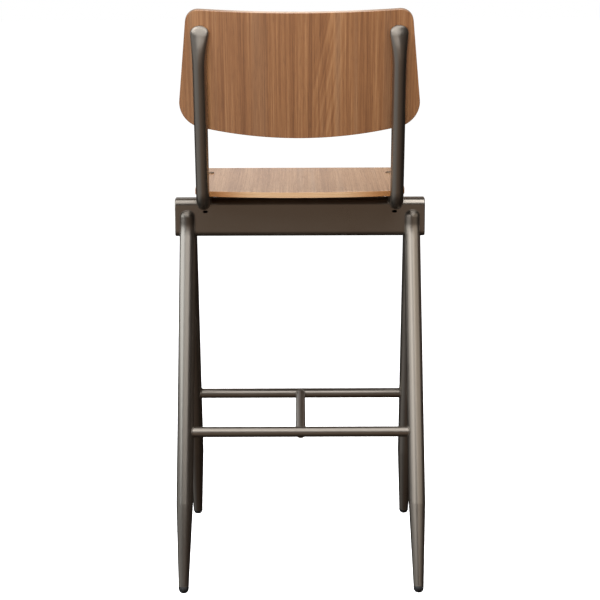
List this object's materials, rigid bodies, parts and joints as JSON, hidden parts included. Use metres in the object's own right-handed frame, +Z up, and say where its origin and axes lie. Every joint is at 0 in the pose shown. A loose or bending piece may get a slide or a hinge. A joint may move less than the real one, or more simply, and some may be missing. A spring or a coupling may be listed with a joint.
{
  "type": "bar stool",
  "caption": "Bar stool with a footrest: tapered tube legs splayed from a cross rail, bent tube back posts, a thin plywood seat and a curved plywood backrest.",
  "frame": {"origin": "on the floor, under the middle of the whole stool's bounding box", "axes": "+Z up; the stool faces -Y, its backrest is towards +Y; +X is the sitter's left"},
  "size_m": [0.483, 0.5263, 1.0882],
  "materials": {
    "frame_paint": "satin dark bronze metallic paint",
    "seat_veneer": "walnut-faced plywood, satin lacquer, pale edge",
    "back_veneer": "walnut-faced plywood, satin lacquer, pale edge",
    "tip_plastic": "moulded black",
    "screw_steel": "blackened",
    "nut_steel": "zinc plated"
  },
  "bodies": {
    "root": {"cross_rail": "frame_paint", "rail_end_cap_left": "frame_paint", "rail_end_cap_right": "frame_paint", "rear_leg_left": "frame_paint", "rear_leg_right": "frame_paint", "front_leg_left": "frame_paint", "front_leg_right": "frame_paint", "back_post_left": "frame_paint", "back_post_right": "frame_paint", "footrest_front_bar": "frame_paint", "footrest_rear_bar": "frame_paint", "footrest_centre_bar": "frame_paint", "seat_panel": "seat_veneer", "backrest_panel": "back_veneer", "rear_foot_tip_left": "tip_plastic", "rear_foot_tip_right": "tip_plastic", "front_foot_tip_left": "tip_plastic", "front_foot_tip_right": "tip_plastic", "arm_end_plug_left": "tip_plastic", "arm_end_plug_right": "tip_plastic", "seat_screws": "screw_steel", "backrest_screws": "screw_steel", "seat_insert_nuts": "nut_steel", "backrest_insert_nuts": "nut_steel"}
  },
  "joints": []
}
